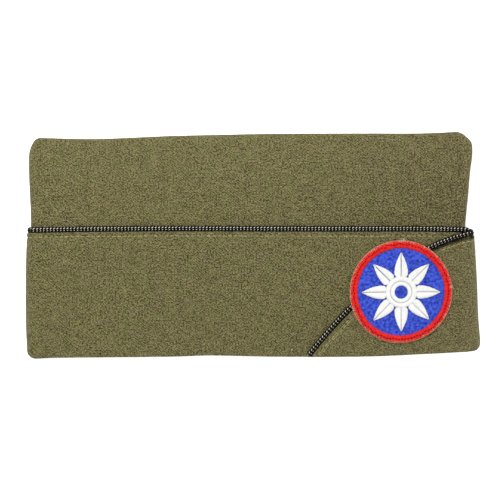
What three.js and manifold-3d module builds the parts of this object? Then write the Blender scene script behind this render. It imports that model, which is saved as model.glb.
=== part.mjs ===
// Garrison cap of wool serge, folded flat and lying on its left side.
//
// Millimetres, +Z up. X runs from the back crease to the front crease, Y from the head opening
// to the top ridge, and Z from the surface that the cap lies on, up through its plies.
//
// Every ply follows one flattened loop round the head. A place on the cap has three numbers:
//   turn  where it is on the loop: 0 the front crease, 1 to 2 along a side, 3 the back seam,
//         above zero on the right side, which lies on top, and below zero on the left side
//   rise  how far it is above the bottom edge, along the cloth
//   out   how far it is outside the inner face of the crown wall

import * as THREE from 'three';
import { mergeVertices } from 'three/addons/utils/BufferGeometryUtils.js';
import Module from 'manifold-3d';

// The cap as a whole
const CAP_LENGTH = 285;
const CROWN_HEIGHT = 140;
const CURTAIN_HEIGHT = 80.6;

// Cloth
const CROWN_WALL = 1.6;
const CURTAIN_WALL = 2.0;
const GUSSET_WALL = 1.1;
const PLY_GAP = 0.3;
const CLOTH_EDGE = 0.5;
const EDGE_BEVEL = 0.3;

// How the folded cap lies
const CREASE_RADIUS = 2.0;
const SWELL_HEIGHT = 5.0;
const CROWN_DROP = 1.8;
const DROP_FROM = 0.15;
const DROP_TO = 0.88;
const LIFT_REACH = 14;

// Top of the crown
const RIDGE_RADIUS = 2.2;
const RIDGE_LIP = 1.4;
const RIDGE_FILLET = 0.7;
const GUSSET_DEPTH = 25;
const GUSSET_END_DEPTH = 3.4;
const GUSSET_INSET = 7;

// Curtain, where its left end laps over the right
const TUCK_TURN = 1.008;
const LAP_LENGTH = 108;
const LAP_TIP_INSET = 4.1;
const LAP_TIP_DROP = 1.9;
const LAP_BOW = { along: 0.5, rise: 0.85 };
const CLIMB = { from: -0.7, to: 0.45 };
const DIP = { from: -1.2, to: 0.4 };
const LEAST_LAP_TURN = 0.12;

// Braid sewn along the curtain's edge
const BRAID_WIDTH = 3.5;
const BRAID_HEIGHT = 2.6;

// Round cloth badge
const PATCH_FROM_FRONT = 49.6;
const PATCH_BELOW_BRAID = 39.8;
const PATCH_WIDTH = 63.5;
const PATCH_TALL = 64.9;
const BORDER_WIDTH = 4.4;
const BORDER_HEIGHT = 1.8;
const FIELD_THICKNESS = 0.8;
const MOTIF_THICKNESS = 0.6;
const PATCH_SETTLE = 17;
const PETALS = 8;
const PETAL_TIP_RADIUS = 24.5;
const PETAL_HALF_WIDTH = 5.6;
const MOTIF_HUB_RADIUS = 9.6;
const MOTIF_EYE_RADIUS = 4.2;

const HALF_LENGTH = CAP_LENGTH / 2;
const PATCH_CENTRE = { x: HALF_LENGTH - PATCH_FROM_FRONT, rise: CURTAIN_HEIGHT - PATCH_BELOW_BRAID };
const LAP_FOOT = HALF_LENGTH - LAP_LENGTH;
const LAP_TIP = { x: HALF_LENGTH - LAP_TIP_INSET, rise: CURTAIN_HEIGHT - LAP_TIP_DROP };
const CURTAIN_IN = CROWN_WALL + PLY_GAP;
const LAP_STEP = CURTAIN_WALL + PLY_GAP;
const BRAID_PROUD = Math.max(BRAID_HEIGHT - CURTAIN_WALL, 0);
const CLOTH_TOP = CURTAIN_HEIGHT - BRAID_WIDTH / 2 - PLY_GAP;

// Outline of the crown wall seen from the side. rise is a share of the crown's height, back and
// front are shares of half the cap's length.
const CROWN_OUTLINE = [
  { rise: 0.000, back: -0.949, front: 0.952 },
  { rise: 0.009, back: -0.966, front: 0.966 },
  { rise: 0.025, back: -0.979, front: 0.975 },
  { rise: 0.060, back: -0.982, front: 0.976 },
  { rise: 0.150, back: -0.986, front: 0.9685 },
  { rise: 0.330, back: -0.987, front: 0.959 },
  { rise: 0.470, back: -0.985, front: 0.9485 },
  { rise: 0.580, back: -0.980, front: 0.939 },
  { rise: 0.640, back: -0.9805, front: 0.9435 },
  { rise: 0.730, back: -0.9845, front: 0.953 },
  { rise: 0.830, back: -0.9895, front: 0.962 },
  { rise: 0.900, back: -0.990, front: 0.972 },
  { rise: 0.930, back: -0.9885, front: 0.972 },
  { rise: 0.955, back: -0.982, front: 0.968 },
  { rise: 0.980, back: -0.970, front: 0.944 },
  { rise: 1.000, back: -0.956, front: 0.919 },
];

// How much wider than the crown the curtain stands at its front crease, as a share of the
// curtain's height, where rise is a share of the same.
const CURTAIN_EASE = [
  { rise: 0.0, front: 0.000 },
  { rise: 0.4, front: 0.004 },
  { rise: 0.8, front: 0.013 },
  { rise: 1.0, front: 0.019 },
];

// Slow waves of the three long edges. along is a share of half the cap's length, the others are
// shares of the crown's height: the bottom edge, the braid line and the top ridge.
const EDGE_WAVE = [
  { along: -1.00, hem: -0.0075, braid: -0.005, ridge: -0.008 },
  { along: -0.88, hem: 0.000, braid: -0.003, ridge: -0.0125 },
  { along: -0.68, hem: 0.003, braid: 0.000, ridge: -0.0155 },
  { along: -0.35, hem: 0.007, braid: 0.002, ridge: -0.002 },
  { along: -0.18, hem: 0.012, braid: 0.002, ridge: 0.002 },
  { along: 0.10, hem: 0.007, braid: 0.001, ridge: 0.0075 },
  { along: 0.50, hem: 0.0078, braid: 0.001, ridge: 0.009 },
  { along: 0.75, hem: 0.018, braid: 0.001, ridge: 0.0095 },
  { along: 1.00, hem: 0.031, braid: -0.004, ridge: 0.0215 },
];

// How much the upper side swells over the hollow: rise is a share of the crown's height, swell a
// share of SWELL_HEIGHT.
const SWELL_BY_RISE = [
  { rise: 0.0, swell: 1.1 },
  { rise: 0.3, swell: 1.0 },
  { rise: 0.6, swell: 0.8 },
  { rise: 0.85, swell: 0.35 },
  { rise: 1.0, swell: 0.12 },
];

// Reads one column of a table at a place on another, on a smooth curve through its rows.
function read(table, by, place, column) {
  const last = table.length - 1;
  const at = Math.min(Math.max(place, table[0][by]), table[last][by]);
  let i = 0;
  while (i < last - 1 && table[i + 1][by] < at) i += 1;
  const slope = (a, b) => (table[b][column] - table[a][column]) / (table[b][by] - table[a][by]);
  const span = table[i + 1][by] - table[i][by];
  const t = (at - table[i][by]) / span;
  const leave = slope(Math.max(i - 1, 0), i + 1) * span;
  const arrive = slope(i, Math.min(i + 2, last)) * span;
  const start = table[i][column];
  const end = table[i + 1][column];
  return (
    start + t * leave + t * t * (3 * (end - start) - 2 * leave - arrive) +
    t * t * t * (leave + arrive - 2 * (end - start))
  );
}

const { lerp, clamp, smoothstep } = THREE.MathUtils;

const crownOutline = (rise, end) =>
  read(CROWN_OUTLINE, 'rise', rise / CROWN_HEIGHT, end) * HALF_LENGTH;

const curtainEase = (rise) =>
  read(CURTAIN_EASE, 'rise', rise / CURTAIN_HEIGHT, 'front') * CURTAIN_HEIGHT;

function edgeWave(x, rise) {
  const wave = (edge) => read(EDGE_WAVE, 'along', x / HALF_LENGTH, edge) * CROWN_HEIGHT;
  const above = (rise - CURTAIN_HEIGHT) / (CROWN_HEIGHT - CURTAIN_HEIGHT);
  const below = 1 - rise / CURTAIN_HEIGHT;
  return above > 0
    ? lerp(wave('braid'), wave('ridge'), above * above)
    : lerp(wave('braid'), wave('hem'), below * below);
}

function swell(x, rise) {
  const along = clamp(x / HALF_LENGTH, -1, 1);
  return SWELL_HEIGHT * read(SWELL_BY_RISE, 'rise', rise / CROWN_HEIGHT, 'swell') * (1 - along * along);
}

// Height of the middle of the fold: the crown droops past the curtain that holds it up.
function foldHeight(rise) {
  const above = (rise - CURTAIN_HEIGHT) / (CROWN_HEIGHT - CURTAIN_HEIGHT);
  const droop = smoothstep(above, DROP_FROM, DROP_TO);
  return CREASE_RADIUS + CURTAIN_IN + CURTAIN_WALL - CROWN_DROP * droop;
}

// The side underneath is lifted where it lies on the braid.
function braidLift(rise) {
  const away = Math.abs(rise - CURTAIN_HEIGHT) - BRAID_WIDTH / 2;
  return BRAID_PROUD * (1 - smoothstep(away, 0, LIFT_REACH));
}

// Middle of the crease at either end of the loop. ease is 1 for the curtain, 0 for the crown.
const frontCentre = (rise, ease) =>
  crownOutline(rise, 'front') - CREASE_RADIUS - CROWN_WALL + ease * curtainEase(rise);
const backCentre = (rise) => crownOutline(rise, 'back') + CREASE_RADIUS + CROWN_WALL;

function capPoint(turn, rise, out, ease = 0) {
  const way = Math.abs(turn);
  const angle = (Math.sign(turn) * (Math.min(way, 1) + Math.max(way - 2, 0)) * Math.PI) / 2;
  const radius = CREASE_RADIUS + out;
  const middle = lerp(frontCentre(rise, ease), backCentre(rise), clamp(way - 1, 0, 1));
  const x = middle + radius * Math.cos(angle);
  const upper = (1 + Math.sin(angle)) / 2;
  const lift = upper * swell(x, rise) + (1 - upper) * braidLift(rise);
  return new THREE.Vector3(
    x,
    rise - CROWN_HEIGHT / 2 + edgeWave(x, rise),
    foldHeight(rise) + radius * Math.sin(angle) + lift,
  );
}

// The turn at which a ply of the right side passes a given x.
function turnAt(x, rise, out, ease) {
  const front = frontCentre(rise, ease);
  if (x < front) return 1 + (front - x) / (front - backCentre(rise));
  return (Math.acos(clamp((x - front) / (CREASE_RADIUS + out), -1, 1)) * 2) / Math.PI;
}

// A closed skin over a row of rings that all have the same number of points. cap holds triangles
// of point numbers that close both end rings; without it the last ring meets the first.
function loft(rings, cap) {
  const count = rings[0].length;
  const positions = rings.flat().flatMap((point) => point.toArray());
  const index = [];
  const bands = cap ? rings.length - 1 : rings.length;
  for (let r = 0; r < bands; r += 1) {
    const next = (r + 1) % rings.length;
    for (let k = 0; k < count; k += 1) {
      const a = r * count + k;
      const b = r * count + ((k + 1) % count);
      const c = next * count + k;
      const d = next * count + ((k + 1) % count);
      index.push(a, b, d, a, d, c);
    }
  }
  const end = (rings.length - 1) * count;
  for (const [a, b, c] of cap ?? []) index.push(a, c, b, end + a, end + b, end + c);
  const geometry = new THREE.BufferGeometry();
  geometry.setAttribute('position', new THREE.Float32BufferAttribute(positions, 3));
  geometry.setIndex(index);
  return facedOut(geometry);
}

// Caps an outline that has a plain flat picture.
function flatCap(flat) {
  const triangles = THREE.ShapeUtils.triangulateShape(flat, []);
  return THREE.ShapeUtils.isClockWise(flat) ? triangles.map(([a, b, c]) => [a, c, b]) : triangles;
}

// Caps a long thin section rung by rung, so that the cap follows its bends.
function stripCap(section) {
  const triangles = [];
  let a = 0;
  let b = section.length - 1;
  while (a + 1 < b) {
    if (section[a + 1][0] <= section[b - 1][0]) {
      triangles.push([a, a + 1, b]);
      a += 1;
    } else {
      triangles.push([a, b - 1, b]);
      b -= 1;
    }
  }
  return triangles;
}

// Turns every face round if the skin faces in.
function facedOut(geometry) {
  const point = geometry.getAttribute('position');
  const index = geometry.getIndex();
  const corner = [new THREE.Vector3(), new THREE.Vector3(), new THREE.Vector3()];
  let volume = 0;
  for (let i = 0; i < index.count; i += 3) {
    corner.forEach((c, k) => c.fromBufferAttribute(point, index.getX(i + k)));
    volume += corner[0].dot(corner[1].cross(corner[2]));
  }
  if (volume < 0) {
    for (let i = 0; i < index.count; i += 3) {
      const second = index.getX(i + 1);
      index.setX(i + 1, index.getX(i + 2));
      index.setX(i + 2, second);
    }
  }
  return geometry;
}

const group = new THREE.Group();

function addPiece(name, geometry, material) {
  geometry.computeVertexNormals();
  const mesh = new THREE.Mesh(geometry, material);
  mesh.name = name;
  group.add(mesh);
}

const serge = new THREE.MeshStandardMaterial({ color: 0x736c4a, roughness: 0.95, metalness: 0 });
const braidCord = new THREE.MeshStandardMaterial({ color: 0x1c1b18, roughness: 0.6, metalness: 0.1 });
const fieldCloth = new THREE.MeshStandardMaterial({ color: 0x2f4bd0, roughness: 0.9, metalness: 0 });
const borderThread = new THREE.MeshStandardMaterial({ color: 0xe02a22, roughness: 0.7, metalness: 0 });
const motifThread = new THREE.MeshStandardMaterial({ color: 0xf4f1e6, roughness: 0.8, metalness: 0 });

// Turns along one side: from the seam or crease at the front, through the flat, to the back seam.
const SIDE_STEPS = 14;
const ARC_STEPS = [0, 1 / 3, 2 / 3, 1];
const LEAST_STEP = 0.05;
function sideTurns(frontTurn, backTurn) {
  const flat = Array.from({ length: SIDE_STEPS - 1 }, (_, i) => 1 + (i + 1) / SIDE_STEPS);
  const turns = [...ARC_STEPS.slice(1), ...flat, ...ARC_STEPS.map((arc) => 2 + arc)];
  return turns.filter((turn) => turn > frontTurn + LEAST_STEP && turn < backTurn - LEAST_STEP);
}

// Where a ply ends short of a seam, as a part of a quarter turn, so that the gap is even.
const seamTurn = (out) => (Math.asin(PLY_GAP / 2 / (CREASE_RADIUS + out)) * 2) / Math.PI;

// Crown: two side panels, sewn together down the front and the back. The top edge rolls in over
// the gusset.
const LOW_ROWS = [0.035, 0.1, 0.24, 0.42, 0.6, 0.75, 0.86, 0.92, 0.945, 0.965, 0.98];
const CROWN_ROWS = [0.05, 0.13, 0.25, 0.38, 0.52, 0.66, 0.78, 0.88];
function crownSection() {
  const top = CROWN_HEIGHT;
  const rows = [
    ...LOW_ROWS.map((share) => share * CLOTH_TOP),
    ...CROWN_ROWS.map((share) => lerp(CLOTH_TOP, top, share)),
  ];
  const roll = ARC_STEPS.map((arc) => {
    const a = (arc * Math.PI) / 2;
    return [
      top - RIDGE_RADIUS + RIDGE_RADIUS * Math.sin(a),
      CROWN_WALL - RIDGE_RADIUS + RIDGE_RADIUS * Math.cos(a),
    ];
  });
  return [
    [CLOTH_EDGE, CROWN_WALL * EDGE_BEVEL],
    [CLOTH_EDGE, CROWN_WALL * (1 - EDGE_BEVEL)],
    ...rows.map((rise) => [rise, CROWN_WALL]),
    ...roll,
    [top, -RIDGE_LIP],
    [top - CROWN_WALL, -RIDGE_LIP],
    [top - CROWN_WALL, -RIDGE_FILLET],
    [top - CROWN_WALL - RIDGE_FILLET, 0],
    ...rows.map((rise) => [rise, 0]).reverse(),
  ];
}

function crownPanel(side) {
  const section = crownSection();
  const ring = (turnOf) =>
    section.map(([rise, out]) => capPoint(side * turnOf(out), rise, out));
  const rings = [
    ring(seamTurn),
    ...sideTurns(seamTurn(-RIDGE_LIP), 3).map((turn) => ring(() => turn)),
    ring((out) => 3 - seamTurn(out)),
  ];
  return loft(rings, stripCap(section));
}

addPiece('crown_right_side', crownPanel(1), serge);
addPiece('crown_left_side', crownPanel(-1), serge);

// Gusset: a boat-shaped strip between the two top edges, folded down into the crown. Each station
// is a U, open at the top, deepest in the middle and shallow at its ends.
const GUSSET_TURN = 0.28;
const between = (a, b, share) => a.clone().lerp(b, share);
const GUSSET_STEPS = 14;
const GUSSET_ROWS = [0, 0.35, 0.7];
function gusset() {
  const top = CROWN_HEIGHT - CROWN_WALL - RIDGE_FILLET - PLY_GAP;
  const from = crownOutline(CROWN_HEIGHT, 'back') + GUSSET_INSET;
  const to = crownOutline(CROWN_HEIGHT, 'front') - GUSSET_INSET;
  const outer = -PLY_GAP;
  const inner = -PLY_GAP - GUSSET_WALL;
  const rings = [];
  for (let i = 0; i <= GUSSET_STEPS; i += 1) {
    const x = lerp(from, to, i / GUSSET_STEPS);
    const along = (2 * i) / GUSSET_STEPS - 1;
    const depth = lerp(GUSSET_END_DEPTH, GUSSET_DEPTH, Math.sqrt(1 - along * along));
    const point = (side, rise, out) =>
      capPoint(side * turnAt(x, rise, out, 0), rise, out).setX(x);
    const fold = top - depth;
    const foot = fold + 1.2 * GUSSET_WALL;
    const rows = GUSSET_ROWS.map((share) => lerp(top, foot, share));
    rings.push([
      ...rows.map((rise) => point(1, rise, outer)),
      point(1, foot, outer),
      between(point(1, fold, outer), point(-1, fold, outer), GUSSET_TURN),
      between(point(-1, fold, outer), point(1, fold, outer), GUSSET_TURN),
      point(-1, foot, outer),
      ...rows.map((rise) => point(-1, rise, outer)).reverse(),
      ...rows.map((rise) => point(-1, rise, inner)),
      between(point(-1, foot, inner), point(1, foot, inner), GUSSET_TURN),
      between(point(1, foot, inner), point(-1, foot, inner), GUSSET_TURN),
      ...rows.map((rise) => point(1, rise, inner)).reverse(),
    ]);
  }
  return loft(rings, flatCap(rings[0].map((p) => new THREE.Vector2(p.y, p.z))));
}

addPiece('crown_top_gusset', gusset(), serge);

// The lap's edge on the right side: a bowed line from the tip at the front crease down to the
// bottom edge. It is the middle of the braid, and the cloth and stitches run beside it.
const lapEdge = new THREE.QuadraticBezierCurve(
  new THREE.Vector2(LAP_FOOT, 0),
  new THREE.Vector2(lerp(LAP_FOOT, LAP_TIP.x, LAP_BOW.along), LAP_TIP.rise * LAP_BOW.rise),
  new THREE.Vector2(LAP_TIP.x, LAP_TIP.rise),
);
const LAP_SAMPLES = 60;

// x of the line that runs beside the lap's edge, at a given rise.
function lapLineAt(rise, beside) {
  const points = Array.from({ length: LAP_SAMPLES + 1 }, (_, i) => {
    const along = lapEdge.getTangent(i / LAP_SAMPLES);
    const away = new THREE.Vector2(along.y, -along.x).multiplyScalar(beside);
    return lapEdge.getPoint(i / LAP_SAMPLES).add(away);
  });
  let i = 0;
  while (i < LAP_SAMPLES - 1 && points[i + 1].y < rise) i += 1;
  const [a, b] = [points[i], points[i + 1]];
  return a.x + ((b.x - a.x) * (rise - a.y)) / (b.y - a.y);
}

// Distance from the lap's edge, above zero on the side of the cap's back.
function lapDistance(x, rise) {
  const place = new THREE.Vector2(x, rise);
  let best = Infinity;
  for (let i = 0; i <= LAP_SAMPLES; i += 1) {
    best = Math.min(best, lapEdge.getPoint(i / LAP_SAMPLES).distanceTo(place));
  }
  return x < lapLineAt(rise, 0) ? best : -best;
}

// How far the left curtain has climbed over the end of the right one, on its way round the front.
const lapClimb = (turn) => LAP_STEP * smoothstep(turn, CLIMB.from, CLIMB.to);

// How the curtain's edge dips towards the tip of the lap, as a share of its height there.
const lapDip = (turn) =>
  1 - (LAP_TIP_DROP / CURTAIN_HEIGHT) * smoothstep(turn, DIP.from, DIP.to);

// Curtain: a doubled band of the same cloth, turned up outside the crown.
function curtainSection() {
  const rows = LOW_ROWS.map((share) => share * CLOTH_TOP);
  const inner = CURTAIN_IN;
  const outer = CURTAIN_IN + CURTAIN_WALL;
  return [
    [0, lerp(inner, outer, EDGE_BEVEL)],
    [0, lerp(outer, inner, EDGE_BEVEL)],
    [CLOTH_EDGE, outer],
    ...rows.map((rise) => [rise, outer]),
    [CLOTH_TOP - CLOTH_EDGE, outer],
    [CLOTH_TOP, lerp(outer, inner, EDGE_BEVEL)],
    [CLOTH_TOP, lerp(inner, outer, EDGE_BEVEL)],
    [CLOTH_TOP - CLOTH_EDGE, inner],
    ...rows.map((rise) => [rise, inner]).reverse(),
    [CLOTH_EDGE, inner],
  ];
}

function curtainRight() {
  const section = curtainSection();
  const ring = (turnOf) => section.map(([rise, out]) => capPoint(turnOf(out), rise, out, 1));
  const rings = [
    ...[TUCK_TURN, ...sideTurns(TUCK_TURN, 3)].map((turn) => ring(() => turn)),
    ring((out) => 3 - seamTurn(out)),
  ];
  return loft(rings, stripCap(section));
}

const LAP_SHARES = [0.18, 0.36, 0.54, 0.714];
const LAP_STEPS = 8;
function curtainLeft() {
  const section = curtainSection();
  const beside = BRAID_WIDTH / 2 + PLY_GAP;
  const lapOut = CURTAIN_IN + LAP_STEP;
  const lapTurn = section.map(([rise]) => {
    const turn = turnAt(lapLineAt(rise, beside), rise, lapOut + CURTAIN_WALL / 2, 1);
    return Math.max(turn, LEAST_LAP_TURN);
  });
  const shares = [...LAP_SHARES];
  const reached = LAP_SHARES[LAP_SHARES.length - 1];
  for (let i = 1; i <= LAP_STEPS; i += 1) shares.push(lerp(reached, 1, i / LAP_STEPS));
  const ring = (turnOf) =>
    section.map(([rise, out], k) => {
      const turn = turnOf(out, k);
      return capPoint(turn, rise * lapDip(turn), out + lapClimb(turn), 1);
    });
  const rings = [
    ring((out) => seamTurn(out) - 3),
    ...sideTurns(0, 3).reverse().map((turn) => ring(() => -turn)),
    ring(() => 0),
    ...shares.map((share) => ring((out, k) => lapTurn[k] * share)),
  ];
  return loft(rings, stripCap(section));
}

addPiece('curtain_right', curtainRight(), serge);
addPiece('curtain_left', curtainLeft(), serge);

// Braid: an oval cord along each curtain's edge. Each station is an oval that stands on the ply
// underneath it.
const BRAID_SIDES = 8;
const braidAngle = (k) => ((k + 0.5) / BRAID_SIDES) * 2 * Math.PI;
function braid(stations) {
  const middle = stations.map(({ turn, rise, out }) =>
    capPoint(turn, rise, out + BRAID_HEIGHT / 2, 1),
  );
  const rings = stations.map(({ turn, rise, out }, i) => {
    const before = middle[Math.max(i - 1, 0)];
    const after = middle[Math.min(i + 1, middle.length - 1)];
    const along = after.clone().sub(before).normalize();
    const foot = capPoint(turn, rise, out, 1);
    const up = middle[i].clone().sub(foot).normalize();
    const across = along.clone().cross(up).normalize();
    const normal = across.clone().cross(along).normalize();
    return Array.from({ length: BRAID_SIDES }, (_, k) =>
      middle[i]
        .clone()
        .addScaledVector(across, (BRAID_WIDTH / 2) * Math.cos(braidAngle(k)))
        .addScaledVector(normal, (BRAID_HEIGHT / 2) * Math.sin(braidAngle(k))),
    );
  });
  const flat = Array.from(
    { length: BRAID_SIDES },
    (_, k) => new THREE.Vector2(Math.cos(braidAngle(k)), Math.sin(braidAngle(k))),
  );
  return loft(rings, flatCap(flat));
}

const braidBackTurn = 3 - seamTurn(CURTAIN_IN);
const BACK_STUB = 0.06;
const rightTurns = [
  TUCK_TURN,
  ...sideTurns(TUCK_TURN, braidBackTurn - BACK_STUB),
  braidBackTurn - BACK_STUB,
  braidBackTurn,
];
const rightBraid = rightTurns.map((turn) => ({ turn, rise: CURTAIN_HEIGHT, out: CURTAIN_IN }));
addPiece('braid_right', braid(rightBraid), braidCord);

const LAP_BRAID_STEPS = 22;
const LAP_CROWDING = 1.6;
const FRONT_TURNS = [-0.8, -0.6, -0.4, -0.2, 0];
function leftBraidStations() {
  const middleOut = CURTAIN_IN + LAP_STEP + BRAID_HEIGHT / 2;
  const under = rightTurns.map((turn) => -turn).reverse();
  const tipTurn = turnAt(LAP_TIP.x, LAP_TIP.rise, middleOut, 1);
  const stations = [...under, ...FRONT_TURNS, tipTurn / 2].map((turn) => ({
    turn,
    rise: CURTAIN_HEIGHT * lapDip(turn),
    out: CURTAIN_IN + lapClimb(turn),
  }));
  for (let i = 0; i <= LAP_BRAID_STEPS; i += 1) {
    const place = lapEdge.getPoint(1 - (i / LAP_BRAID_STEPS) ** LAP_CROWDING);
    const turn = turnAt(place.x, place.y, middleOut, 1);
    stations.push({ turn, rise: place.y, out: CURTAIN_IN + lapClimb(turn) });
  }
  return stations;
}
addPiece('braid_left', braid(leftBraidStations()), braidCord);

// Badge: a cloth disc, a rim worked in thread and a raised motif. It is sewn across the lap, so
// it bridges the step from the right curtain up to the braid and settles on the lap.
function underPatch(x, rise) {
  const away = lapDistance(x, rise);
  const clear = BRAID_WIDTH / 2;
  const low = CURTAIN_IN + CURTAIN_WALL + PLY_GAP;
  const onLap = low + LAP_STEP;
  const onBraid = CURTAIN_IN + LAP_STEP + BRAID_HEIGHT + PLY_GAP;
  return away > 0
    ? lerp(onBraid, low, smoothstep(away, clear, clear + PATCH_SETTLE))
    : lerp(onBraid, onLap, smoothstep(-away, clear, clear + PATCH_SETTLE));
}

function patchPoint(across, upward, above) {
  const x = PATCH_CENTRE.x + across;
  const rise = PATCH_CENTRE.rise + upward;
  const out = underPatch(x, rise) + above;
  return new THREE.Vector3(
    x,
    rise - CROWN_HEIGHT / 2 + edgeWave(x, rise),
    foldHeight(rise) + CREASE_RADIUS + out + swell(x, rise),
  );
}

const TALL_SHARE = PATCH_TALL / PATCH_WIDTH;
const PATCH_SIDES = 44;
const roundPoint = (k, radius, above) => {
  const a = (k / PATCH_SIDES) * 2 * Math.PI;
  return patchPoint(radius * Math.cos(a), radius * Math.sin(a) * TALL_SHARE, above);
};

const FIELD_CIRCLES = [0.14, 0.4, 0.66, 0.86, 1];
function patchField() {
  const rim = PATCH_WIDTH / 2 - BORDER_WIDTH - PLY_GAP;
  const circles = [
    ...FIELD_CIRCLES.map((share) => [share * rim, FIELD_THICKNESS]),
    ...FIELD_CIRCLES.map((share) => [share * rim, 0]).reverse(),
  ];
  const rings = circles.map(([radius, above]) =>
    Array.from({ length: PATCH_SIDES }, (_, k) => roundPoint(k, radius, above)),
  );
  return loft(rings, flatCap(rings[0].map((p) => new THREE.Vector2(p.x, p.y))));
}

// Section of the worked rim: across is a share of its width from the inside, above a share of its
// height.
const BORDER_SECTION = [
  { across: 0.0, above: 0.0 },
  { across: 0.0, above: 0.62 },
  { across: 0.22, above: 1.0 },
  { across: 0.72, above: 1.0 },
  { across: 1.0, above: 0.5 },
  { across: 0.9, above: 0.0 },
];
function patchBorder() {
  const inner = PATCH_WIDTH / 2 - BORDER_WIDTH;
  const section = BORDER_SECTION.map(({ across, above }) => [
    inner + across * BORDER_WIDTH,
    above * BORDER_HEIGHT,
  ]);
  const rings = Array.from({ length: PATCH_SIDES }, (_, k) =>
    section.map(([radius, above]) => roundPoint(k, radius, above)),
  );
  return loft(rings);
}

addPiece('patch_field', patchField(), fieldCloth);
addPiece('patch_border', patchBorder(), borderThread);

// Motif: a plain rosette of pointed petals round a ring. Its outline cuts it out of a thin plate
// that lies on the cloth disc.
const PETAL_WAIST = 0.45;
function petalOutline() {
  const outline = new THREE.Shape();
  const halfStep = Math.PI / PETALS;
  const waist = lerp(MOTIF_HUB_RADIUS, PETAL_TIP_RADIUS, PETAL_WAIST);
  const polar = (radius, angle) => [radius * Math.cos(angle), radius * Math.sin(angle) * TALL_SHARE];
  const widest = PETAL_HALF_WIDTH / waist;
  outline.moveTo(...polar(MOTIF_HUB_RADIUS, -halfStep));
  for (let i = 0; i < PETALS; i += 1) {
    const middle = 2 * halfStep * i;
    outline.quadraticCurveTo(...polar(waist, middle - widest), ...polar(PETAL_TIP_RADIUS, middle));
    outline.quadraticCurveTo(
      ...polar(waist, middle + widest),
      ...polar(MOTIF_HUB_RADIUS, middle + halfStep),
    );
  }
  const eye = new THREE.Path();
  eye.absellipse(0, 0, MOTIF_EYE_RADIUS, MOTIF_EYE_RADIUS * TALL_SHARE, 0, 2 * Math.PI, true, 0);
  outline.holes.push(eye);
  return outline;
}

const PLATE_CELLS = 10;
const PLATE_MARGIN = 1.05;
function motifPlate() {
  const reach = PETAL_TIP_RADIUS * TALL_SHARE * PLATE_MARGIN;
  const low = FIELD_THICKNESS + PLY_GAP;
  const rows = Array.from({ length: PLATE_CELLS + 1 }, (_, i) =>
    lerp(-reach, reach, i / PLATE_CELLS),
  );
  const section = [
    ...rows.map((across) => [across, low]),
    ...rows.map((across) => [across, low + MOTIF_THICKNESS]).reverse(),
  ];
  const rings = rows.map((upward) =>
    section.map(([across, above]) => patchPoint(across, upward, above)),
  );
  return loft(rings, stripCap(section));
}

const wasm = await Module();
wasm.setup();

function solidOf(geometry) {
  const bare = geometry.clone();
  bare.deleteAttribute('normal');
  bare.deleteAttribute('uv');
  const merged = mergeVertices(bare, 1e-4);
  return new wasm.Manifold(
    new wasm.Mesh({
      numProp: 3,
      vertProperties: new Float32Array(merged.getAttribute('position').array),
      triVerts: new Uint32Array(merged.getIndex().array),
    }),
  );
}

function geometryOf(solid) {
  const mesh = solid.getMesh();
  const geometry = new THREE.BufferGeometry();
  geometry.setAttribute('position', new THREE.Float32BufferAttribute(mesh.vertProperties, 3));
  geometry.setIndex(new THREE.BufferAttribute(mesh.triVerts, 1));
  return geometry;
}

function patchMotif() {
  const tall = PATCH_WIDTH;
  const cutter = new THREE.ExtrudeGeometry(petalOutline(), {
    depth: tall,
    bevelEnabled: false,
    curveSegments: 4,
  });
  const foot = patchPoint(0, 0, 0);
  cutter.translate(PATCH_CENTRE.x, foot.y, foot.z - tall / 2);
  return geometryOf(solidOf(motifPlate()).intersect(solidOf(cutter)));
}

addPiece('patch_motif', patchMotif(), motifThread);

// The frame's origin is under the middle of the cap, on the surface that it lies on.
const box = new THREE.Box3().setFromObject(group);
const centre = box.getCenter(new THREE.Vector3());
group.position.set(-centre.x, -centre.y, -box.min.z);

export default group;
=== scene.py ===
# A garrison cap of wool serge, folded flat, lying on its left side and seen from straight above.
#
# Sizes are in millimetres and become the frame's metres when a mesh is made. X runs from the back
# crease to the front crease, Y from the head opening to the top ridge, and Z up through the plies.

import math

import bpy
import numpy as np
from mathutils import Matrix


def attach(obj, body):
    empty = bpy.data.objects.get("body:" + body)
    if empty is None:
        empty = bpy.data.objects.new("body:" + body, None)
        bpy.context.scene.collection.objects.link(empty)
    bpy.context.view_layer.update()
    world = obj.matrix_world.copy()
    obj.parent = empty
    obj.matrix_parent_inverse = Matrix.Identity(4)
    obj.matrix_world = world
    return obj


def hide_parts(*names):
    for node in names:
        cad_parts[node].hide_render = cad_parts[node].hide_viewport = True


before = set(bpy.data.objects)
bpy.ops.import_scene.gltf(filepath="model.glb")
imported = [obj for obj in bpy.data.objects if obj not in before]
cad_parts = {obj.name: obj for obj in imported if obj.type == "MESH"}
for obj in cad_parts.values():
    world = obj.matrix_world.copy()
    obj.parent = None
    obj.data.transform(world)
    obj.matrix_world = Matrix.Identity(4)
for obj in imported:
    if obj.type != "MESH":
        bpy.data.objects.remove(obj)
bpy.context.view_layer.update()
MM = 0.001


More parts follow.
